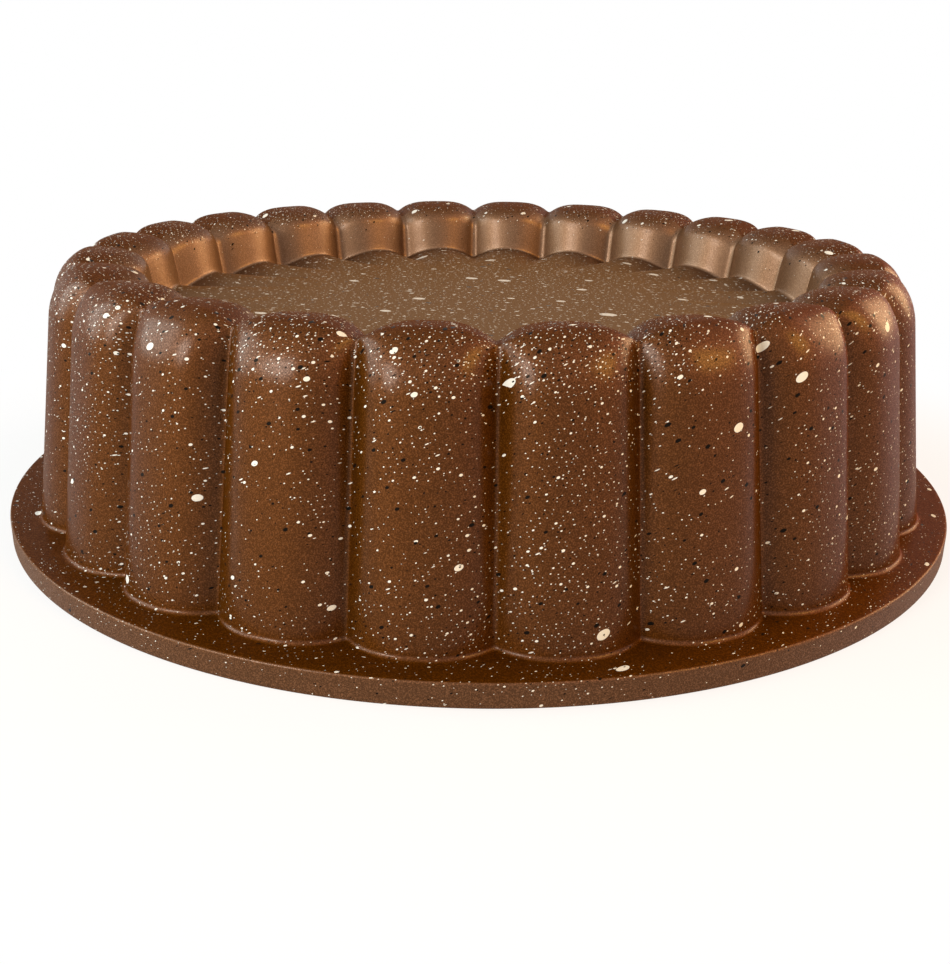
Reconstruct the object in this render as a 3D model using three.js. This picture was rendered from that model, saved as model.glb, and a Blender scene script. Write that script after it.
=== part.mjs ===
// Round fluted cake mould, standing on its rim with the mouth down.
// Units are millimetres and +Z is up. The mould's axis is the Z axis, and its rim rests on z = 0.
// It is one aluminium casting with a coat sprayed on each side, so the three solids are layers
// of one wall: every face between two layers is worked out once, from the same section.
import * as THREE from 'three';

// Layers of the wall, measured in a section through the axis
const outerCoatThickness = 0.4;
const castThickness = 3.2;
const innerCoatThickness = 0.4;
const castFaceDepth = outerCoatThickness;
const cavityFaceDepth = outerCoatThickness + castThickness;
const wallThickness = cavityFaceDepth + innerCoatThickness;

// Flutes: each is an arch from groove to groove, and they run over the crown onto the floor
const fluteCount = 24;
const archPower = 2.8;
const facetEdges = [-1, -0.72, -0.33, 0.33, 0.72];

// Outer wall, measured in a groove
const grooveFootRadius = 121.2;
const wallDraft = 8.0;
const fluteDepthAtFoot = 6.0;
const fluteDepthAtShoulder = 6.4;
const footFillet = 1.2;
const grooveShoulderRadius = grooveFootRadius - wallDraft;

// Rim: a flat flange round the foot of the flutes
const rimThickness = 5.9;
const rimLedge = 7.8;
const rimRadius = grooveFootRadius + fluteDepthAtFoot + rimLedge;

// Crown: two arcs that leave the walls smoothly and meet at the highest line of the ring
const bodyHeight = 72.0;
const fluteDepthAtCrown = 3.4;
const crownOuterRise = 12.4;
const crownInnerRise = 5.6;
const crestApexShare = 0.41;
const grooveApexShare = 0.2;
const outerCrownSteps = 3;
const innerCrownSteps = 2;

// Trough: the ring of the cavity under the crown, measured between two facing grooves
const troughWidth = 6.6;
const grooveRecessTop = grooveShoulderRadius - wallThickness - troughWidth - wallThickness;

// Recess: the shallow well inside the ring, with petals that fade out across its floor
const recessDraft = 1.8;
const recessWallHeight = 9.6;
const fluteDepthInRecess = 4.5;
const petalDepth = 3.9;
const petalLength = 42.6;
const grooveRecessFoot = grooveRecessTop - recessDraft;
const floorLevel = bodyHeight - crownInnerRise - recessWallHeight;
const petalEndRadius = grooveRecessFoot - petalLength;

/** Height of the flute's arch at a place across it: 0 in the grooves at -1 and 1, 1 on the crest. */
function archAt(place) {
  return 1 - Math.abs(place) ** archPower;
}

/** Height at which the outer wall turns into the crown. */
function shoulderHeight(arch) {
  return bodyHeight - (1 - arch) * fluteDepthAtCrown - crownOuterRise;
}

/** Radius of the outside of the drafted wall at a height. */
function wallRadius(arch, height) {
  const foot = grooveFootRadius + arch * fluteDepthAtFoot;
  const shoulder = grooveShoulderRadius + arch * fluteDepthAtShoulder;
  const share = (height - rimThickness) / (shoulderHeight(arch) - rimThickness);
  return foot + (shoulder - foot) * share;
}

/** Quarter of a skewed ellipse: it goes on from a wall at the wall's own slope, and is level at the apex. */
function crownArc(wallFoot, wallTop, apex, steps) {
  const rise = apex.y - wallTop.y;
  const lean = ((wallTop.x - wallFoot.x) / (wallTop.y - wallFoot.y)) * rise;
  const reach = apex.x - lean - wallTop.x;
  return Array.from({ length: steps + 1 }, (_, step) => {
    const turn = (step / steps) * (Math.PI / 2);
    return new THREE.Vector2(
      wallTop.x + reach * (1 - Math.cos(turn)) + lean * Math.sin(turn),
      wallTop.y + rise * Math.sin(turn));
  });
}

/** Floor, recess wall and crown, from the axis out to the shoulder, at a depth under the outside face. */
function crownPath(arch, depth) {
  const top = bodyHeight - (1 - arch) * fluteDepthAtCrown;
  const wallFoot = new THREE.Vector2(wallRadius(arch, rimThickness) - depth, rimThickness);
  const shoulder = new THREE.Vector2(wallRadius(arch, shoulderHeight(arch)) - depth, shoulderHeight(arch));
  const recessTop = new THREE.Vector2(grooveRecessTop - arch * fluteDepthInRecess + depth, top - crownInnerRise);
  const recessFoot = new THREE.Vector2(
    recessTop.x - recessDraft, floorLevel - (1 - arch) * petalDepth - depth);
  const apexShare = grooveApexShare + (crestApexShare - grooveApexShare) * arch;
  const apex = new THREE.Vector2(shoulder.x + (recessTop.x - shoulder.x) * apexShare, top - depth);
  const outerArc = crownArc(wallFoot, shoulder, apex, outerCrownSteps);
  return [
    new THREE.Vector2(0, floorLevel - depth),
    new THREE.Vector2(petalEndRadius, floorLevel - depth),
    recessFoot,
    ...crownArc(recessFoot, recessTop, apex, innerCrownSteps),
    ...outerArc.reverse().slice(1),
  ];
}

/** Half-section of an outside face, from the axis over the crown and the rim to the rest plane. */
function outsidePath(arch, depth) {
  const filletTop = rimThickness + footFillet;
  const rimTop = rimThickness - depth;
  return [
    ...crownPath(arch, depth),
    new THREE.Vector2(wallRadius(arch, filletTop) - depth, filletTop),
    new THREE.Vector2(wallRadius(arch, rimThickness) + footFillet, rimTop),
    new THREE.Vector2(rimRadius - depth, rimTop),
    new THREE.Vector2(rimRadius - depth, 0),
  ];
}

/** Half-section of a cavity face, from the axis through the trough and down to the mouth. */
function cavityPath(arch, depth) {
  return [
    ...crownPath(arch, depth),
    new THREE.Vector2(wallRadius(arch, 0) - depth, 0),
  ];
}

/** Solid between two faces that turn about the axis, each given by its half-section for an arch height. */
function flutedLayer(upperPath, lowerPath) {
  const columns = [];
  for (let flute = 0; flute < fluteCount; flute += 1) {
    for (const place of facetEdges) {
      const angle = ((flute + (place + 1) / 2) * 2 * Math.PI) / fluteCount;
      columns.push({ angle, arch: archAt(place), leftHalf: place < 0 });
    }
  }
  const positions = [];
  const faces = [];

  // Adds one face, split into the same triangles on every layer, and returns its outer edge.
  function addFace(pathAt, upward) {
    const paths = columns.map(({ arch }) => pathAt(arch));
    const rings = paths[0].length - 1;
    const axisVertex = positions.length / 3;
    positions.push(0, 0, paths[0][0].y);
    columns.forEach(({ angle }, column) => {
      for (const point of paths[column].slice(1)) {
        positions.push(point.x * Math.cos(angle), point.x * Math.sin(angle), point.y);
      }
    });
    const vertex = (column, ring) => axisVertex + 1 + (column % columns.length) * rings + ring;
    const addTriangle = (a, b, c) => faces.push(...(upward ? [a, b, c] : [a, c, b]));
    columns.forEach(({ leftHalf }, column) => {
      addTriangle(axisVertex, vertex(column, 0), vertex(column + 1, 0));
      for (let ring = 0; ring < rings - 1; ring += 1) {
        const near = vertex(column, ring);
        const nearOut = vertex(column, ring + 1);
        const far = vertex(column + 1, ring);
        const farOut = vertex(column + 1, ring + 1);
        if (leftHalf) {
          addTriangle(near, nearOut, farOut);
          addTriangle(near, farOut, far);
        } else {
          addTriangle(near, nearOut, far);
          addTriangle(nearOut, farOut, far);
        }
      }
    });
    return columns.map((_, column) => vertex(column, rings - 1));
  }

  const upperEdge = addFace(upperPath, true);
  const lowerEdge = addFace(lowerPath, false);
  upperEdge.forEach((upper, column) => {
    const next = (column + 1) % columns.length;
    faces.push(upper, lowerEdge[column], lowerEdge[next]);
    faces.push(upper, lowerEdge[next], upperEdge[next]);
  });
  const geometry = new THREE.BufferGeometry();
  geometry.setAttribute('position', new THREE.Float32BufferAttribute(positions, 3));
  geometry.setIndex(faces);
  geometry.computeVertexNormals();
  return geometry;
}

/** Named mesh of one layer of the wall. */
function layer(name, upperPath, lowerPath, material) {
  const mesh = new THREE.Mesh(flutedLayer(upperPath, lowerPath), material);
  mesh.name = name;
  return mesh;
}

const coatMaterial = new THREE.MeshStandardMaterial({ color: 0x6e4a34, roughness: 0.5, metalness: 0.35 });
const liningMaterial = new THREE.MeshStandardMaterial({ color: 0x66452f, roughness: 0.45, metalness: 0.3 });
const castMaterial = new THREE.MeshStandardMaterial({ color: 0xb8babc, roughness: 0.5, metalness: 1.0 });

// Faces between the layers, from the outside of the mould to the inside of its cavity
const outerFace = (arch) => outsidePath(arch, 0);
const castOuterFace = (arch) => outsidePath(arch, castFaceDepth);
const castCavityFace = (arch) => cavityPath(arch, cavityFaceDepth);
const cavityFace = (arch) => cavityPath(arch, wallThickness);

const cakeMould = new THREE.Group();
cakeMould.add(
  layer('outer_coat', outerFace, castOuterFace, coatMaterial),
  layer('cast_body', castOuterFace, castCavityFace, castMaterial),
  layer('inner_coat', castCavityFace, cavityFace, liningMaterial),
);

export default cakeMould;
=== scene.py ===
"""Round fluted cake mould, standing mouth down on its rim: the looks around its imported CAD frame.

Lengths are metres. The mould's axis is Z, the rim rests on z = 0, and grooves lie on +X and on -Y.
"""
import math

import bpy
import numpy as np
from mathutils import Matrix, Vector


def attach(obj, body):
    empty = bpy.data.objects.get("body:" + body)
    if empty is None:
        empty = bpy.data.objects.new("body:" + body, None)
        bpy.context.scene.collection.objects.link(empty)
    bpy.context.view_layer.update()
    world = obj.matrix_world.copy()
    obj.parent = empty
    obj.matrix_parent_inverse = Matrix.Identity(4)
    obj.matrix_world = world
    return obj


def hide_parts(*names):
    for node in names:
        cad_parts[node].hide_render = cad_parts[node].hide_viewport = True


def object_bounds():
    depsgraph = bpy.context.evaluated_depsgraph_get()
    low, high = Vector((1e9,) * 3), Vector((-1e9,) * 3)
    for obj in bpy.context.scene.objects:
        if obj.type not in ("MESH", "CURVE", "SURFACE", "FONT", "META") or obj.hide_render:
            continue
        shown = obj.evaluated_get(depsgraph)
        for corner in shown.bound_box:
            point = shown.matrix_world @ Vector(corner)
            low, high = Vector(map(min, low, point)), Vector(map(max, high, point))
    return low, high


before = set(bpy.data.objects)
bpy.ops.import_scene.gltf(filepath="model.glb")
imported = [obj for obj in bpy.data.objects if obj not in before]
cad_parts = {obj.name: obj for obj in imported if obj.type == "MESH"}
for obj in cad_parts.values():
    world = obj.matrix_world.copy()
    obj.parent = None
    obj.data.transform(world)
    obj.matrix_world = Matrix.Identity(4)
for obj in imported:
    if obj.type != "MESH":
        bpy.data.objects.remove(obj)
cad_low, cad_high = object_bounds()

# Casting: one piece of aluminium, poured into a mould, with the fluted wall, crown, floor and rim in one.
# A coat covers each side of it, so only the rest face shows bare, a ring turned flat on a lathe.
OUTER_COAT = 0.0004
CAST_WALL = 0.0032
INNER_COAT = 0.0004
FLUTES = 24
RIM_RADIUS = cad_high.x
RIM_THICKNESS = 0.0059
RIM_LEDGE = 0.0078
RIM_TOP_ROUND = 0.0006
RIM_FOOT_ROUND = 0.0003
FLUTE_DEPTH_AT_FOOT = 0.0060
FLUTE_DEPTH_AT_SHOULDER = 0.0064
FLUTE_DEPTH_AT_CROWN = 0.0034
FLUTE_DEPTH_IN_RECESS = 0.0045
FOOT_FILLET = 0.0012
WALL_DRAFT = 0.0080
BODY_HEIGHT = cad_high.z
CROWN_OUTER_RISE = 0.0124
CROWN_INNER_RISE = 0.0056
CREST_APEX_SHARE = 0.41
GROOVE_APEX_SHARE = 0.20
TROUGH_WIDTH = 0.0066
RECESS_DRAFT = 0.0018
RECESS_WALL_HEIGHT = 0.0096
RECESS_CORNER = 0.0011
PETAL_DEPTH = 0.0039
PETAL_LENGTH = 0.0426
PETAL_FADE = 1.3
GROOVE_FOOT = RIM_RADIUS - RIM_LEDGE - FLUTE_DEPTH_AT_FOOT
GROOVE_SHOULDER = GROOVE_FOOT - WALL_DRAFT
WALL = OUTER_COAT + CAST_WALL + INNER_COAT
GROOVE_RECESS_TOP = GROOVE_SHOULDER - 2 * WALL - TROUGH_WIDTH
FLOOR_LEVEL = BODY_HEIGHT - CROWN_INNER_RISE - RECESS_WALL_HEIGHT
PETAL_END = GROOVE_RECESS_TOP - RECESS_DRAFT - PETAL_LENGTH

# Columns of the grid: places across a flute run from -1 to 1, drawn together towards the grooves
COLUMNS_PER_FLUTE = 28
GROOVE_CROWDING = 1.8
even = np.linspace(-1, 1, COLUMNS_PER_FLUTE, endpoint=False)
across = np.sign(even) * (1 - (1 - np.abs(even)) ** GROOVE_CROWDING)
places = np.tile(across, FLUTES)
flute_numbers = np.repeat(np.arange(FLUTES), COLUMNS_PER_FLUTE)
angles = (flute_numbers + (places + 1) / 2) * 2 * math.pi / FLUTES

GROOVE_SOFTNESS = 0.02
SHARP_EDGE = math.radians(50)


def arch_across(power, strip):
    """Height of the flute's arch at every column: 1 - (|place| / edge) ** power, and 0 in the groove strip.
    The gap g to the strip's edge is replaced by (g + sqrt(g * g + s * s)) / 2, which rounds the corners."""
    edge = 1 - strip
    gap = edge - np.abs(places)
    rounded = (gap + np.sqrt(gap**2 + GROOVE_SOFTNESS**2)) / 2
    full = (edge + math.sqrt(edge**2 + GROOVE_SOFTNESS**2)) / 2
    return 1 - (1 - rounded / full) ** power


# The flutes are rounder at the foot and in the recess, and squarer on the crown
foot_arch = arch_across(power=2.4, strip=0.02)
crown_arch = arch_across(power=3.2, strip=0.03)
recess_arch = arch_across(power=2.2, strip=0.065)


def straight(start, end, steps):
    """Rows along a straight line from start to end, without start itself."""
    share = np.linspace(0, 1, steps + 1)[1:, None]
    return start + (end - start) * share


def quarter(centre, start, end, steps):
    """Rows along a quarter ellipse, without its start.
    A point is centre + (start - centre) cos t + (end - centre) sin t."""
    turn = np.linspace(0, math.pi / 2, steps + 1)[1:, None]
    return centre + (start - centre) * np.cos(turn) + (end - centre) * np.sin(turn)


def rounded_corner(start, tip, end, steps):
    """Rows along a rounded corner, without its start: a parabola that leaves for tip and ends at end."""
    share = np.linspace(0, 1, steps + 1)[1:, None]
    return (1 - share) ** 2 * start + 2 * share * (1 - share) * tip + share**2 * end


def wall_radius(height):
    """Radius of the drafted wall's outside at a height: straight from foot to shoulder in each column."""
    foot = GROOVE_FOOT + foot_arch * FLUTE_DEPTH_AT_FOOT
    shoulder = GROOVE_SHOULDER + crown_arch * FLUTE_DEPTH_AT_SHOULDER
    spring = BODY_HEIGHT - (1 - crown_arch) * FLUTE_DEPTH_AT_CROWN - CROWN_OUTER_RISE
    return foot + (shoulder - foot) * (height - RIM_THICKNESS) / (spring - RIM_THICKNESS)


def crown_arc(wall_foot, wall_top, apex, steps):
    """Rows along a quarter of a skewed ellipse, without its start, from a wall's top to the level apex.
    Its centre lies at the wall's top height, in line with the apex along the wall's slope."""
    way = wall_top - wall_foot
    centre = apex - way * (apex.imag - wall_top.imag) / way.imag
    return quarter(centre, wall_top, apex, steps)


def crown_rows(depth, fineness):
    """Half-section from the axis across floor, petals, recess wall and crown to the shoulder, at a depth.
    A point is the complex number radius + i * height, with one row for a step and one column for an angle."""
    top = BODY_HEIGHT - (1 - crown_arch) * FLUTE_DEPTH_AT_CROWN
    spring = top - CROWN_OUTER_RISE
    wall_foot = wall_radius(RIM_THICKNESS) - depth + 1j * RIM_THICKNESS
    shoulder = wall_radius(spring) - depth + 1j * spring
    recess_radius = GROOVE_RECESS_TOP - recess_arch * FLUTE_DEPTH_IN_RECESS + depth
    recess_top = recess_radius + 1j * (top - CROWN_INNER_RISE)
    dip = (1 - recess_arch) * PETAL_DEPTH
    floor = FLOOR_LEVEL - depth
    recess_foot = recess_top.real - RECESS_DRAFT + 1j * (floor - dip)
    apex_share = GROOVE_APEX_SHARE + (CREST_APEX_SHARE - GROOVE_APEX_SHARE) * crown_arch
    apex = shoulder.real + (recess_top.real - shoulder.real) * apex_share + 1j * (top - depth)
    wall_way = recess_top - recess_foot
    recess_tip = recess_top + wall_way * (apex.imag - recess_top.imag) / wall_way.imag
    corner_end = recess_foot + wall_way * RECESS_CORNER / np.abs(wall_way)
    petal_share = np.linspace(0, 1 - RECESS_CORNER / PETAL_LENGTH, 2 * fineness + 1)[1:, None]
    petal_radius = PETAL_END + (recess_foot.real - PETAL_END) * petal_share
    petals = petal_radius + 1j * (floor - dip * petal_share**PETAL_FADE)
    axis_row = np.zeros((1, len(places))) + 1j * floor
    outer_arc = crown_arc(wall_foot, shoulder, apex, 4 * fineness)
    return np.concatenate([
        axis_row,
        straight(axis_row[0], PETAL_END + 1j * floor + 0 * places, fineness),
        petals,
        rounded_corner(petals[-1], recess_foot, corner_end, fineness),
        straight(corner_end, recess_top, fineness),
        rounded_corner(recess_top, recess_tip, apex, 3 * fineness),
        outer_arc[-2::-1],
        shoulder[None],
    ])


def outside_rows(depth, fineness):
    """Half-section of an outside face: the crown, the wall, its foot fillet, the ledge and the rim's edge."""
    crown = crown_rows(depth, fineness)
    fillet_top = RIM_THICKNESS + FOOT_FILLET
    wall_foot = wall_radius(fillet_top) - depth
    ledge = RIM_THICKNESS - depth
    edge = RIM_RADIUS - depth + 0 * places
    top_round = RIM_TOP_ROUND - depth / 2
    foot_round = RIM_FOOT_ROUND - depth / 2
    fillet_end = wall_foot + depth + FOOT_FILLET + 1j * ledge
    fillet_centre = fillet_end.real + 1j * fillet_top
    ledge_end = edge - top_round + 1j * ledge
    edge_top = edge + 1j * (ledge - top_round)
    edge_foot = edge + 1j * foot_round
    return np.concatenate([
        crown,
        straight(crown[-1], wall_foot + 1j * fillet_top, fineness),
        quarter(fillet_centre, wall_foot + 1j * fillet_top, fillet_end, fineness),
        straight(fillet_end, ledge_end, fineness),
        quarter(ledge_end - 1j * top_round, ledge_end, edge_top, fineness),
        straight(edge_top, edge_foot, fineness),
        quarter(edge_foot - foot_round, edge_foot, edge - foot_round + 0j, fineness),
    ])


def cavity_rows(depth, fineness):
    """Half-section of a cavity face: the crown from inside, then straight down the wall to the mouth."""
    crown = crown_rows(depth, fineness)
    return np.concatenate([crown, straight(crown[-1], wall_radius(0) - depth + 0j, fineness)])


def turned_points(rows):
    """Points of a half-section turned about the axis: one on the axis, then every column of every row."""
    ring = rows[1:].real * np.exp(1j * angles)
    points = np.stack([ring.real, ring.imag, rows[1:].imag], axis=-1).reshape(-1, 3)
    return np.concatenate([[[0, 0, rows[0, 0].imag]], points])


def way_along(rows):
    """Way along a half-section from the axis to every point: its steps' lengths added up, averaged by row."""
    steps = np.abs(np.diff(rows, axis=0)).mean(axis=1)
    return np.concatenate([[0], np.repeat(np.cumsum(steps), rows.shape[1])])


def add_values(mesh, name, values):
    """Stores one number for each vertex of a mesh, for its material to read."""
    attribute = mesh.attributes.new(name, "FLOAT", "POINT")
    attribute.data.foreach_set("value", values.astype(np.float32))


def layer(name, upper, lower):
    """Closed layer of the wall between two half-sections turned about the axis.
    Each face is a fan of triangles round the axis and a grid of quads, and a ring of quads joins their ends.
    Two attributes serve its finish: the way along the section, and how level the face lies."""
    upper_points = turned_points(upper)
    lower_points = turned_points(lower)
    lower_start = len(upper_points)
    count = len(places)
    upper_grid = 1 + np.arange(lower_start - 1).reshape(-1, count)
    lower_grid = lower_start + 1 + np.arange(len(lower_points) - 1).reshape(-1, count)

    def quads(inner, outer):
        """Quads between rows of vertex numbers, counter-clockwise seen from above."""
        corners = [inner, outer, np.roll(outer, -1, axis=-1), np.roll(inner, -1, axis=-1)]
        return np.stack(corners, axis=-1).reshape(-1, 4)

    def fan(axis_vertex, ring):
        """Triangles round the axis, counter-clockwise seen from above."""
        return np.stack([np.full(count, axis_vertex), ring, np.roll(ring, -1)], axis=-1)

    faces = fan(0, upper_grid[0]).tolist()
    faces += fan(lower_start, lower_grid[0])[:, ::-1].tolist()
    faces += quads(upper_grid[:-1], upper_grid[1:]).tolist()
    faces += quads(lower_grid[:-1], lower_grid[1:])[:, ::-1].tolist()
    faces += quads(upper_grid[-1], lower_grid[-1]).tolist()
    mesh = bpy.data.meshes.new(name)
    mesh.from_pydata(np.concatenate([upper_points, lower_points]).tolist(), [], faces)
    mesh.polygons.foreach_set("use_smooth", np.ones(len(mesh.polygons), dtype=bool))
    mesh.set_sharp_from_angle(angle=SHARP_EDGE)
    normals = np.empty(3 * len(mesh.vertices))
    mesh.vertices.foreach_get("normal", normals)
    add_values(mesh, "level", normals[2::3])
    add_values(mesh, "way", np.concatenate([way_along(upper), way_along(lower)]))
    piece = bpy.data.objects.new(name, mesh)
    bpy.context.scene.collection.objects.link(piece)
    return piece


HIDDEN_FINENESS = 2
SHOWN_FINENESS = 5
cast_outside = outside_rows(OUTER_COAT, HIDDEN_FINENESS)
cast_inside = cavity_rows(OUTER_COAT + CAST_WALL, HIDDEN_FINENESS)
casting = layer("fluted_casting", cast_outside, cast_inside)


def add_node(tree, kind, inputs=None, **settings):
    """New shader node. Each input, named or numbered, takes a value, or a link where it is given a socket."""
    node = tree.nodes.new(kind)
    for setting, value in settings.items():
        setattr(node, setting, value)
    for socket, value in (inputs or {}).items():
        if isinstance(value, bpy.types.NodeSocket):
            tree.links.new(value, node.inputs[socket])
        else:
            node.inputs[socket].default_value = value
    return node


def arithmetic(tree, operation, *values, clamp=False):
    """Output of a Math node on one, two or three values or sockets."""
    node = add_node(tree, "ShaderNodeMath", dict(enumerate(values)), operation=operation, use_clamp=clamp)
    return node.outputs["Value"]


def product(tree, *factors):
    """Factors multiplied together, one Math node after another."""
    result = factors[0]
    for factor in factors[1:]:
        result = arithmetic(tree, "MULTIPLY", result, factor)
    return result


def ramp(tree, value, start, end, interpolation="LINEAR"):
    """Output of a Map Range node. Start and end are pairs: a value, and the result for it and all beyond."""
    node = add_node(tree, "ShaderNodeMapRange", {
        "Value": value, "From Min": start[0], "From Max": end[0], "To Min": start[1], "To Max": end[1],
    }, interpolation_type=interpolation)
    return node.outputs["Result"]


def noise(tree, place, scale, detail, roughness):
    """Output of a Noise node, with its scale in waves per metre."""
    node = add_node(tree, "ShaderNodeTexNoise", {
        "Vector": place, "Scale": scale, "Detail": detail, "Roughness": roughness})
    return node.outputs["Fac"]


def blend(tree, share, first, second, kind="RGBA"):
    """Output of a Mix node between two colours or two vectors: the first at 0, the second at 1."""
    node = add_node(tree, "ShaderNodeMix", {"Factor": share, "A": first, "B": second}, data_type=kind)
    return node.outputs["Result"]


def about_axis(tree):
    """Place on the mould, its parts along X, Y and Z, and its distance from the mould's axis."""
    place = add_node(tree, "ShaderNodeTexCoord").outputs["Object"]
    parts = add_node(tree, "ShaderNodeSeparateXYZ", {0: place}).outputs
    square_x = arithmetic(tree, "POWER", parts["X"], 2.0)
    square_y = arithmetic(tree, "POWER", parts["Y"], 2.0)
    radius = arithmetic(tree, "SQRT", arithmetic(tree, "ADD", square_x, square_y))
    return place, parts, radius


def new_material(name):
    """Material with an empty Principled surface, and the node to set its sockets on."""
    material = bpy.data.materials.new(name)
    material.use_nodes = True
    return material, material.node_tree, material.node_tree.nodes["Principled BSDF"]


def turned_lines_group():
    """Fine lines left by a lathe tool: noise read along radius and height only, so it runs round the axis."""
    tree = bpy.data.node_groups.new("turned_lines", "ShaderNodeTree")
    tree.interface.new_socket("Lines per metre", in_out="INPUT", socket_type="NodeSocketFloat")
    tree.interface.new_socket("Height", in_out="OUTPUT", socket_type="NodeSocketFloat")
    given = add_node(tree, "NodeGroupInput").outputs
    _, parts, radius = about_axis(tree)
    section = add_node(tree, "ShaderNodeCombineXYZ", {"X": radius, "Y": parts["Z"]}).outputs[0]
    lines = noise(tree, section, given["Lines per metre"], detail=2.0, roughness=0.6)
    add_node(tree, "NodeGroupOutput", {"Height": lines})
    return tree


turned_lines = turned_lines_group()

METAL_HOLLOW = (0.60, 0.61, 0.62, 1)
METAL_RIDGE = (0.78, 0.79, 0.80, 1)
METAL_ROUGHNESS = (0.0, 0.48), (1.0, 0.30)
METAL_LINES_PER_METRE = 2600.0
METAL_RELIEF = 0.4
RELIEF_DEPTH = 0.0001
bare_metal, tree, surface = new_material("turned_aluminium")
surface.inputs["Metallic"].default_value = 1.0
lines = add_node(tree, "ShaderNodeGroup", node_tree=turned_lines)
lines.inputs["Lines per metre"].default_value = METAL_LINES_PER_METRE
ridges = lines.outputs["Height"]
tree.links.new(blend(tree, ridges, METAL_HOLLOW, METAL_RIDGE), surface.inputs["Base Color"])
tree.links.new(ramp(tree, ridges, *METAL_ROUGHNESS), surface.inputs["Roughness"])
metal_relief = add_node(tree, "ShaderNodeBump", {
    "Height": ridges, "Strength": METAL_RELIEF, "Distance": RELIEF_DEPTH})
tree.links.new(metal_relief.outputs["Normal"], surface.inputs["Normal"])
casting.data.materials.append(bare_metal)
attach(casting, "root")
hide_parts("cast_body")

# Outer coat: copper-brown satin enamel with a metal flake, sprayed over the outside and baked on.
# Cream and black enamel is spattered over it while the mould turns, so larger drops lie drawn out sideways.
# The base is painted paler in the recess, as painted light, and the coat is smoother there; the rim's edge is
# paler too.
outer_coat = layer("outer_coat_shell", outside_rows(0, SHOWN_FINENESS), cast_outside)
COPPER_BROWN = (0.090, 0.0262, 0.0008, 1)
# Painted light: the paler brown of the recess, drawn as if lit more brightly; the rim's edge blends part way
# to it.
PAINTED_LIT_BROWN = (0.166, 0.089, 0.047, 1)
CREAM = (0.69, 0.68, 0.63, 1)
BLACK = (0.004, 0.003, 0.0025, 1)
EDGE_TINT = (0.52, 0.39, 0.25, 1)

# Painted light: inside the recess's edge and below the crown the base is paler, as if brightly lit; the rim's
# edge is paler too.
# Pairs, here and below, are a value and the result for it.
FLOOR_EDGE = GROOVE_RECESS_TOP - RECESS_DRAFT - FLUTE_DEPTH_IN_RECESS
RECESS_EDGE = GROOVE_RECESS_TOP + 0.0040
RECESS_BY_HEIGHT = (0.0639, 1.0), (0.0722, 0.0)
RIM_EDGE = RIM_RADIUS - RIM_TOP_ROUND / 2
# Share by which the rim's edge is drawn paler, towards the lit brown.
RIM_EDGE_PALING = 0.3

# Spatter: more of it falls on the crown, the left side and the recess floor.
# Less of it falls on the recess wall, at the back and near the table.
SPATTER_BY_HEIGHT = (0.058, 1.0), (0.067, 2.8)
SPATTER_NEAR_TABLE = (0.003, 0.25), (0.009, 1.0)
SPATTER_ON_RECESS_WALL = 0.07
SPATTER_ON_RECESS_FLOOR = 2.2
BLACK_ON_FLOOR = 0.15
CREAM_IN_RECESS = 0.65
PATCHES_PER_METRE = 28.0
PATCH_SLANT = -0.9
PATCH_SHARES = (0.38, 0.14), (0.66, 0.57)
FLOOR_SHARE = 0.42
FLOOR_FINENESS = 0.6
SPATTER_TILT = math.radians(25)
DROP_STRETCH = 1.5
DASH_STRETCH = 4.0
DROP_EDGE = 0.00006
SMALL_DROP_BIAS = 1.8
LAYER_SHIFT = 0.31

# Layers of drops: form, distance apart, share of the places that have one, smallest and largest radius.
# A share of None goes by the patches.
CREAM_LAYERS = (
    ("drop", 0.0010, None, 0.00006, 0.00012),
    ("drop", 0.0029, None, 0.00012, 0.00027),
    ("drop", 0.0110, 0.42, 0.00025, 0.00105),
    ("dash", 0.0026, 0.18, 0.00007, 0.00014),
)
BLACK_LAYERS = (
    ("drop", 0.0015, None, 0.00008, 0.00018),
    ("drop", 0.0042, 0.45, 0.00016, 0.00042),
    ("dash", 0.0030, 0.20, 0.00008, 0.00016),
)

# Flake and relief of the sprayed enamel
GRAIN_PER_METRE = 3300.0
FLECKS_BY_GRAIN = (0.40, 0.0), (0.75, 1.0)
MEAN_FLECKS = 0.3
GRAIN_IN_RECESS = 0.5
PEEL_PER_METRE = 700.0
EDGE_LINES_PER_METRE = 1900.0
GRAIN_RELIEF = 0.5
DROP_RELIEF = 0.4
EDGE_LINES_RELIEF = 3.0


def fading(tree, share, at_one):
    """Value that goes from 1 where a share is 0 to another value where the share is 1."""
    return arithmetic(tree, "MULTIPLY_ADD", share, at_one - 1.0, 1.0)


def drops(tree, place, shift, spacing, exposed, share, smallest, largest):
    """Mask of drops: one point in each cell of a flat Voronoi pattern, kept where the cell's random number is
    under exposed * share, with a radius between two limits, the small ones more often."""
    moved = add_node(tree, "ShaderNodeVectorMath", {0: place, 1: (shift, shift, 0)}, operation="ADD")
    cells = add_node(tree, "ShaderNodeTexVoronoi", {
        "Vector": moved.outputs[0], "Scale": 1 / spacing}, voronoi_dimensions="2D")
    lots = add_node(tree, "ShaderNodeSeparateColor", {"Color": cells.outputs["Color"]}).outputs
    distance = arithmetic(tree, "MULTIPLY", cells.outputs["Distance"], spacing)
    growth = arithmetic(tree, "POWER", lots["Green"], SMALL_DROP_BIAS)
    radius = arithmetic(tree, "MULTIPLY_ADD", growth, largest - smallest, smallest)
    inside = arithmetic(tree, "SUBTRACT", radius, distance)
    mask = arithmetic(tree, "MULTIPLY_ADD", inside, 1 / DROP_EDGE, 0.5, clamp=True)
    kept = arithmetic(tree, "LESS_THAN", lots["Red"], arithmetic(tree, "MULTIPLY", exposed, share))
    return arithmetic(tree, "MULTIPLY", mask, kept)


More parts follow.
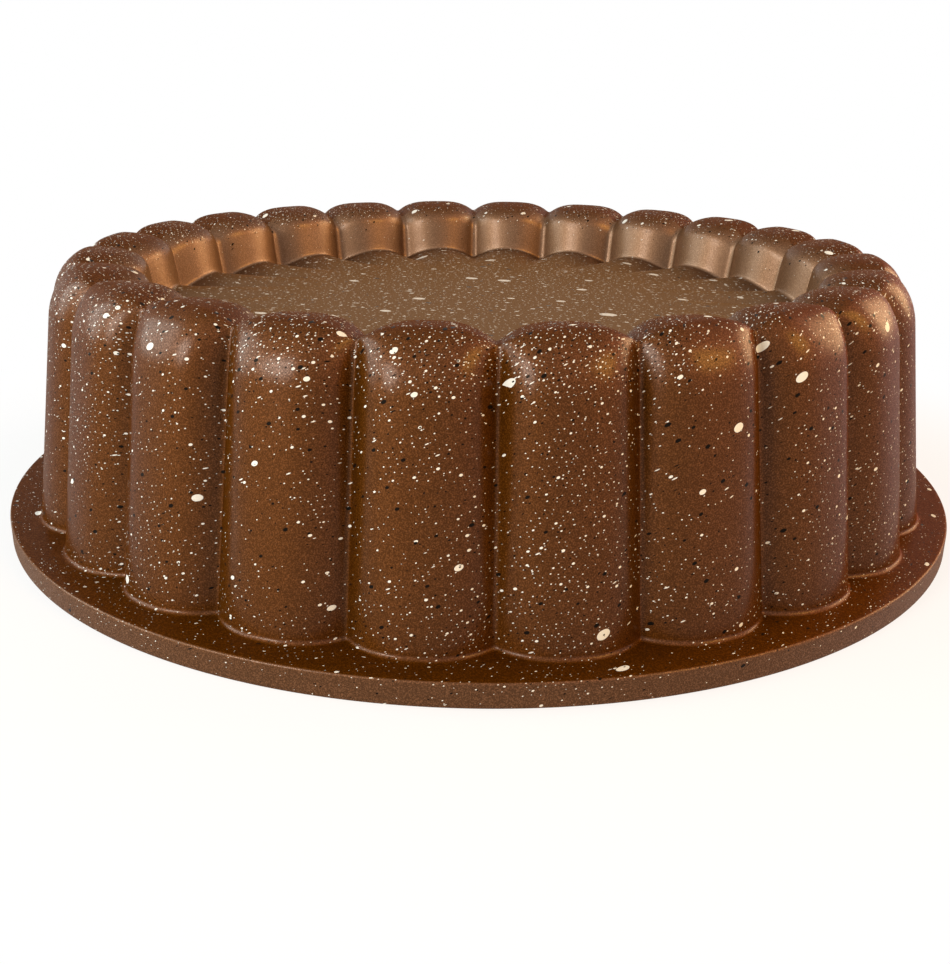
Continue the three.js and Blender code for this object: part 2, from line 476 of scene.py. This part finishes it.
def spatter(tree, layers, first_number, forms, exposed, patches):
    """Mask of all the drops of one colour. Each layer is shifted by its number, so that no two are alike."""
    mask = 0.0
    for number, (form, spacing, share, smallest, largest) in enumerate(layers, first_number):
        share = patches if share is None else share
        shift = number * LAYER_SHIFT
        layer_mask = drops(tree, forms[form], shift, spacing, exposed, share, smallest, largest)
        mask = arithmetic(tree, "MAXIMUM", mask, layer_mask)
    return mask


def spatter_forms(tree, parts, on_wall, fineness):
    """Places for the drops and for the dashes. The face is unrolled to angle * radius and the way along the
    section, or laid out flat on the recess floor, and is then turned, sized and stretched."""
    turn = arithmetic(tree, "ARCTAN2", parts["Y"], parts["X"])
    round_way = arithmetic(tree, "MULTIPLY", turn, GROOVE_FOOT)
    section_way = add_node(tree, "ShaderNodeAttribute", attribute_name="way").outputs["Fac"]
    unrolled = add_node(tree, "ShaderNodeCombineXYZ", {"X": round_way, "Y": section_way}).outputs[0]
    flat = add_node(tree, "ShaderNodeCombineXYZ", {"X": parts["X"], "Y": parts["Y"]}).outputs[0]
    laid_out = blend(tree, on_wall, flat, unrolled, kind="VECTOR")
    tilted = add_node(tree, "ShaderNodeMapping", {"Vector": laid_out, "Rotation": (0, 0, SPATTER_TILT)})
    local_fineness = arithmetic(tree, "MULTIPLY_ADD", on_wall, 1.0 - FLOOR_FINENESS, FLOOR_FINENESS)
    scale = arithmetic(tree, "MULTIPLY", fineness, local_fineness)
    sized = add_node(tree, "ShaderNodeVectorMath", {0: tilted.outputs[0], "Scale": scale}, operation="SCALE")
    forms = {}
    for form, stretch in (("drop", DROP_STRETCH), ("dash", DASH_STRETCH)):
        stretched = add_node(tree, "ShaderNodeMapping", {
            "Vector": sized.outputs[0], "Scale": (1 / stretch, 1, 1)})
        forms[form] = stretched.outputs[0]
    return forms


def spatter_reach(tree, parts, recessed, on_wall):
    """How much spatter reaches a place: more on the crown and the recess floor, less near the table."""
    falling = ramp(tree, parts["Z"], *SPATTER_BY_HEIGHT)
    off_table = ramp(tree, parts["Z"], *SPATTER_NEAR_TABLE)
    more_on_floor = SPATTER_ON_RECESS_FLOOR - SPATTER_ON_RECESS_WALL
    lost = arithmetic(tree, "MULTIPLY_ADD", on_wall, more_on_floor, 1.0 - SPATTER_ON_RECESS_FLOOR)
    kept = arithmetic(tree, "SUBTRACT", 1.0, arithmetic(tree, "MULTIPLY", recessed, lost))
    return product(tree, falling, off_table, kept)


def spatter_patches(tree, place, parts, on_floor):
    """Share of the small drops that fall at a place: low noise, higher on the left and lower at the back."""
    low_noise = noise(tree, place, PATCHES_PER_METRE, detail=1.0, roughness=0.5)
    left_way = arithmetic(tree, "MINIMUM", parts["X"], 0.0)
    back_way = arithmetic(tree, "MAXIMUM", parts["Y"], 0.0)
    sideways = arithmetic(tree, "ADD", left_way, back_way)
    slanted = arithmetic(tree, "MULTIPLY_ADD", sideways, PATCH_SLANT, low_noise)
    share = ramp(tree, slanted, *PATCH_SHARES)
    return arithmetic(tree, "MAXIMUM", share, arithmetic(tree, "MULTIPLY", on_floor, FLOOR_SHARE))


def spattered_enamel_group():
    """Sprayed flake enamel with cream and black drops.
    The base is painted paler in the recess, as painted light, and is paler on the rim's edge; its bright
    flecks follow a fine grain.
    The relief has the spray's soft peel, the grain, the drops and the lines on the rim's edge."""
    tree = bpy.data.node_groups.new("spattered_enamel", "ShaderNodeTree")
    for name in ("Base", "Painted lit base", "Cream", "Black"):
        tree.interface.new_socket(name, in_out="INPUT", socket_type="NodeSocketColor")
    for name in ("Fineness", "Grain"):
        tree.interface.new_socket(name, in_out="INPUT", socket_type="NodeSocketFloat")
    tree.interface.new_socket("Color", in_out="OUTPUT", socket_type="NodeSocketColor")
    for name in ("Drops", "Flecks", "In recess", "Height"):
        tree.interface.new_socket(name, in_out="OUTPUT", socket_type="NodeSocketFloat")
    given = add_node(tree, "NodeGroupInput").outputs
    place, parts, radius = about_axis(tree)
    on_wall = arithmetic(tree, "GREATER_THAN", radius, FLOOR_EDGE)
    on_floor = arithmetic(tree, "SUBTRACT", 1.0, on_wall)
    rim_edge = arithmetic(tree, "GREATER_THAN", radius, RIM_EDGE)
    inward = arithmetic(tree, "LESS_THAN", radius, RECESS_EDGE)
    below_crown = ramp(tree, parts["Z"], *RECESS_BY_HEIGHT, interpolation="SMOOTHSTEP")
    recessed = arithmetic(tree, "MULTIPLY", inward, below_crown)

    forms = spatter_forms(tree, parts, on_wall, given["Fineness"])
    reach = spatter_reach(tree, parts, recessed, on_wall)
    black_reach = arithmetic(tree, "MULTIPLY", reach, fading(tree, on_floor, BLACK_ON_FLOOR))
    patches = spatter_patches(tree, place, parts, on_floor)
    cream = spatter(tree, CREAM_LAYERS, 0, forms, reach, patches)
    black = spatter(tree, BLACK_LAYERS, len(CREAM_LAYERS), forms, black_reach, patches)
    drop_mask = arithmetic(tree, "MAXIMUM", cream, black)

    grain = noise(tree, place, GRAIN_PER_METRE, detail=1.0, roughness=0.6)
    flecks = ramp(tree, grain, *FLECKS_BY_GRAIN, interpolation="SMOOTHSTEP")
    contrast = arithmetic(tree, "MULTIPLY", given["Grain"], fading(tree, recessed, GRAIN_IN_RECESS))
    swing = arithmetic(tree, "SUBTRACT", flecks, MEAN_FLECKS)
    tone = arithmetic(tree, "MULTIPLY_ADD", swing, contrast, 1.0)
    # Painted light: the base turns to the lit brown in the recess, and part way to it on the rim's edge.
    lit_recess_and_pale_edge = arithmetic(tree, "MULTIPLY_ADD", rim_edge, RIM_EDGE_PALING, recessed)
    sprayed = blend(tree, lit_recess_and_pale_edge, given["Base"], given["Painted lit base"])
    based = add_node(tree, "ShaderNodeVectorMath", {0: sprayed, "Scale": tone}, operation="SCALE").outputs[0]
    soft_cream = arithmetic(tree, "MULTIPLY", cream, fading(tree, recessed, CREAM_IN_RECESS))
    coloured = blend(tree, black, blend(tree, soft_cream, based, given["Cream"]), given["Black"])

    peel = noise(tree, place, PEEL_PER_METRE, detail=2.0, roughness=0.5)
    lines = add_node(tree, "ShaderNodeGroup", node_tree=turned_lines)
    lines.inputs["Lines per metre"].default_value = EDGE_LINES_PER_METRE
    edge_lines = arithmetic(tree, "MULTIPLY", lines.outputs["Height"], rim_edge)
    grained = arithmetic(tree, "MULTIPLY_ADD", grain, GRAIN_RELIEF, peel)
    raised = arithmetic(tree, "MULTIPLY_ADD", drop_mask, DROP_RELIEF, grained)
    height = arithmetic(tree, "MULTIPLY_ADD", edge_lines, EDGE_LINES_RELIEF, raised)
    add_node(tree, "NodeGroupOutput", {
        "Color": coloured, "Drops": drop_mask, "Flecks": flecks, "In recess": recessed, "Height": height})
    return tree


spattered_enamel = spattered_enamel_group()

# Shine of the enamel: pairs of a value and the result for it
FLAKE_METALLIC = 0.9
SPRAY_ROUGHNESS = 0.65
RECESS_ROUGHNESS = 0.50
DROP_ROUGHNESS = 0.40
ENAMEL_RELIEF = 0.25
FLAKE_SPECULAR = 0.1
GLAZE_BY_LEVEL = (0.6, 1.0), (0.95, 0.2)
GLAZE_ON_WALL = (0.15, 0.75), (0.40, 1.0)
GLAZE_BY_FACING = (0.45, 1.0), (0.90, 0.3)
GLAZE_ON_DROPS = 0.05
GLAZE_BETWEEN_FLECKS = 0.7
GLAZE_ROUGHNESS = 0.28
GLAZE_IOR = 1.28


def enamel(name, base, painted_lit_base, fineness, grain):
    """Material of a spattered flake coat: the flake shines as metal, and the drops on it are plain enamel.
    A glaze sparkles on the flecks, and is weaker on level faces, walls and drops and where seen edge-on."""
    material, tree, surface = new_material(name)
    coat = add_node(tree, "ShaderNodeGroup", node_tree=spattered_enamel)
    coat.inputs["Base"].default_value = base
    # Painted light: the lit brown the base turns to in the recess.
    coat.inputs["Painted lit base"].default_value = painted_lit_base
    coat.inputs["Cream"].default_value = CREAM
    coat.inputs["Black"].default_value = BLACK
    coat.inputs["Fineness"].default_value = fineness
    coat.inputs["Grain"].default_value = grain
    on_drops = coat.outputs["Drops"]
    tree.links.new(coat.outputs["Color"], surface.inputs["Base Color"])
    flake = ramp(tree, on_drops, (0.0, FLAKE_METALLIC), (1.0, 0.0))
    tree.links.new(flake, surface.inputs["Metallic"])
    smoother = RECESS_ROUGHNESS - SPRAY_ROUGHNESS
    sprayed = arithmetic(tree, "MULTIPLY_ADD", coat.outputs["In recess"], smoother, SPRAY_ROUGHNESS)
    rough = ramp(tree, on_drops, (0.0, sprayed), (1.0, DROP_ROUGHNESS))
    tree.links.new(rough, surface.inputs["Roughness"])
    relief = add_node(tree, "ShaderNodeBump", {
        "Height": coat.outputs["Height"], "Strength": ENAMEL_RELIEF, "Distance": RELIEF_DEPTH})
    tree.links.new(relief.outputs["Normal"], surface.inputs["Normal"])
    surface.inputs["Specular IOR Level"].default_value = FLAKE_SPECULAR
    surface.inputs["Specular Tint"].default_value = EDGE_TINT
    level = add_node(tree, "ShaderNodeAttribute", attribute_name="level").outputs["Fac"]
    turned_away = add_node(tree, "ShaderNodeLayerWeight", {"Blend": 0.5}).outputs["Facing"]
    glaze = product(
        tree,
        ramp(tree, level, *GLAZE_BY_LEVEL),
        ramp(tree, level, *GLAZE_ON_WALL),
        fading(tree, on_drops, GLAZE_ON_DROPS),
        arithmetic(tree, "ADD", coat.outputs["Flecks"], GLAZE_BETWEEN_FLECKS),
        ramp(tree, turned_away, *GLAZE_BY_FACING),
    )
    tree.links.new(glaze, surface.inputs["Coat Weight"])
    surface.inputs["Coat Roughness"].default_value = GLAZE_ROUGHNESS
    surface.inputs["Coat IOR"].default_value = GLAZE_IOR
    return material


# The outer enamel paints the recess's light with the lit brown.
outer_enamel = enamel("outer_spattered_enamel", COPPER_BROWN, PAINTED_LIT_BROWN, fineness=1.0, grain=0.9)
outer_coat.data.materials.append(outer_enamel)
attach(outer_coat, "root")
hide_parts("outer_coat")

# Inner coat: the release coat that lines the cavity, sprayed and baked on from the mouth side.
# It is the same brown enamel with finer drops and a weaker grain.
inner_coat = layer("inner_coat_lining", cast_inside, cavity_rows(WALL, SHOWN_FINENESS))
inner_enamel = enamel("inner_release_enamel", COPPER_BROWN, COPPER_BROWN, fineness=1.4, grain=0.8)
inner_coat.data.materials.append(inner_enamel)
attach(inner_coat, "root")
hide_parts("inner_coat")

# Floor: a plain white sheet that takes the mould's soft shadow and turns into the white of the background.
# A round window under the mould leaves its rest face and its cavity open to a look from below.
FLOOR_RADIUS = 40.0
WINDOW_RADIUS = RIM_RADIUS - 0.0005
FLOOR_SIDES = 96
PAPER_WHITE = (0.9, 0.9, 0.9, 1)
WHITE = (1, 1, 1, 1)
GLOW_BY_DISTANCE = (0.14, 0.75), (0.23, 1.0)
floor_turn = np.exp(2j * math.pi * np.arange(FLOOR_SIDES) / FLOOR_SIDES)
floor_ring = np.concatenate([WINDOW_RADIUS * floor_turn, FLOOR_RADIUS * floor_turn])
floor_points = np.stack([floor_ring.real, floor_ring.imag, 0 * floor_ring.real], axis=-1)
window_edge = np.arange(FLOOR_SIDES)
next_edge = np.roll(window_edge, -1)
floor_quads = np.stack([window_edge, window_edge + FLOOR_SIDES, next_edge + FLOOR_SIDES, next_edge], axis=-1)
floor_mesh = bpy.data.meshes.new("floor")
floor_mesh.from_pydata(floor_points.tolist(), [], floor_quads.tolist())
floor = bpy.data.objects.new("floor", floor_mesh)
bpy.context.scene.collection.objects.link(floor)
white_paper = bpy.data.materials.new("white_paper")
white_paper.use_nodes = True
tree = white_paper.node_tree
tree.nodes.clear()


def seen_directly(tree):
    """1 for camera, mirror and see-through rays, and 0 for the rays that carry light between surfaces."""
    rays = add_node(tree, "ShaderNodeLightPath").outputs
    shown = arithmetic(tree, "MAXIMUM", rays["Is Camera Ray"], rays["Is Glossy Ray"])
    return arithmetic(tree, "MAXIMUM", shown, rays["Is Transmission Ray"])


place = add_node(tree, "ShaderNodeTexCoord").outputs["Object"]
distance = add_node(tree, "ShaderNodeVectorMath", {0: place}, operation="LENGTH").outputs["Value"]
fade = ramp(tree, distance, *GLOW_BY_DISTANCE, interpolation="SMOOTHSTEP")
glow_share = arithmetic(tree, "MULTIPLY", fade, seen_directly(tree))
paper = add_node(tree, "ShaderNodeBsdfDiffuse", {"Color": PAPER_WHITE})
glow = add_node(tree, "ShaderNodeEmission", {"Color": WHITE, "Strength": 1.0})
mixed = add_node(tree, "ShaderNodeMixShader", {0: glow_share, 1: paper.outputs[0], 2: glow.outputs[0]})
add_node(tree, "ShaderNodeOutputMaterial", {"Surface": mixed.outputs[0]})
floor_mesh.materials.append(white_paper)

# Light: a white surround, a window and a cool fill on the left, and a warm lamp and a warm fill on the right.
AMBIENT = 0.45
LAMP_DISTANCE = 1.2
world = bpy.data.worlds.new("white_surround")
bpy.context.scene.world = world
world.use_nodes = True
tree = world.node_tree
strength = ramp(tree, seen_directly(tree), (0.0, AMBIENT), (1.0, 1.0))
surround = tree.nodes["Background"]
surround.inputs["Color"].default_value = WHITE
tree.links.new(strength, surround.inputs["Strength"])


def soft_box(name, azimuth, elevation, size, power, colour):
    """Area lamp that faces the mould. Its azimuth is 0 in front of the mould and positive to the right."""
    turn = math.radians(azimuth)
    rise = math.radians(elevation)
    way = Vector((math.sin(turn) * math.cos(rise), -math.cos(turn) * math.cos(rise), math.sin(rise)))
    data = bpy.data.lights.new(name, "AREA")
    data.shape = "ELLIPSE"
    data.size, data.size_y = size
    data.energy = power
    data.color = colour
    lamp = bpy.data.objects.new(name, data)
    lamp.location = way * LAMP_DISTANCE
    lamp.rotation_euler = way.to_track_quat("Z", "Y").to_euler()
    bpy.context.scene.collection.objects.link(lamp)


soft_box("left_window", -46, 22.5, size=(0.48, 0.48), power=9.4, colour=(1.0, 0.95, 0.86))
soft_box("left_fill", -88, 24, size=(1.0, 0.8), power=9.0, colour=(0.88, 1.0, 0.98))
soft_box("right_warm_lamp", 53, 34, size=(0.66, 0.50), power=7.2, colour=(1.0, 0.52, 0.08))
soft_box("right_fill", 112, 22, size=(0.9, 0.7), power=11.5, colour=(1.0, 0.64, 0.30))

# Camera: where the photograph was taken from, found by fitting this surface to the photograph's outlines.
IMAGE_WIDTH = 950
FOCAL_PIXELS = 1144
CAMERA_DISTANCE = 0.35555
CAMERA_ELEVATION = math.radians(20.16)
CAMERA_ROLL = math.radians(0.796)
CAMERA_TURN = math.radians(-1.642)
CAMERA_SIDE = -0.00111
AIM_HEIGHT = -0.00123
NEAREST_SEEN = 0.01
camera_data = bpy.data.cameras.new("camera")
camera_data.sensor_fit = "HORIZONTAL"
camera_data.lens = camera_data.sensor_width * FOCAL_PIXELS / IMAGE_WIDTH
camera_data.clip_start = NEAREST_SEEN
camera = bpy.data.objects.new("camera", camera_data)
tilt = Matrix.Rotation(math.pi / 2 - CAMERA_ELEVATION, 4, "X")
roll = Matrix.Rotation(CAMERA_ROLL, 4, "Z")
turn = Matrix.Rotation(CAMERA_TURN, 4, "Z")
stand = Matrix.Translation((CAMERA_SIDE, -CAMERA_DISTANCE * math.cos(CAMERA_ELEVATION),
                            AIM_HEIGHT + CAMERA_DISTANCE * math.sin(CAMERA_ELEVATION)))
camera.matrix_world = turn @ stand @ tilt @ roll
bpy.context.scene.collection.objects.link(camera)
bpy.context.scene.camera = camera
bpy.context.scene.view_settings.view_transform = "Standard"

bpy.context.view_layer.update()
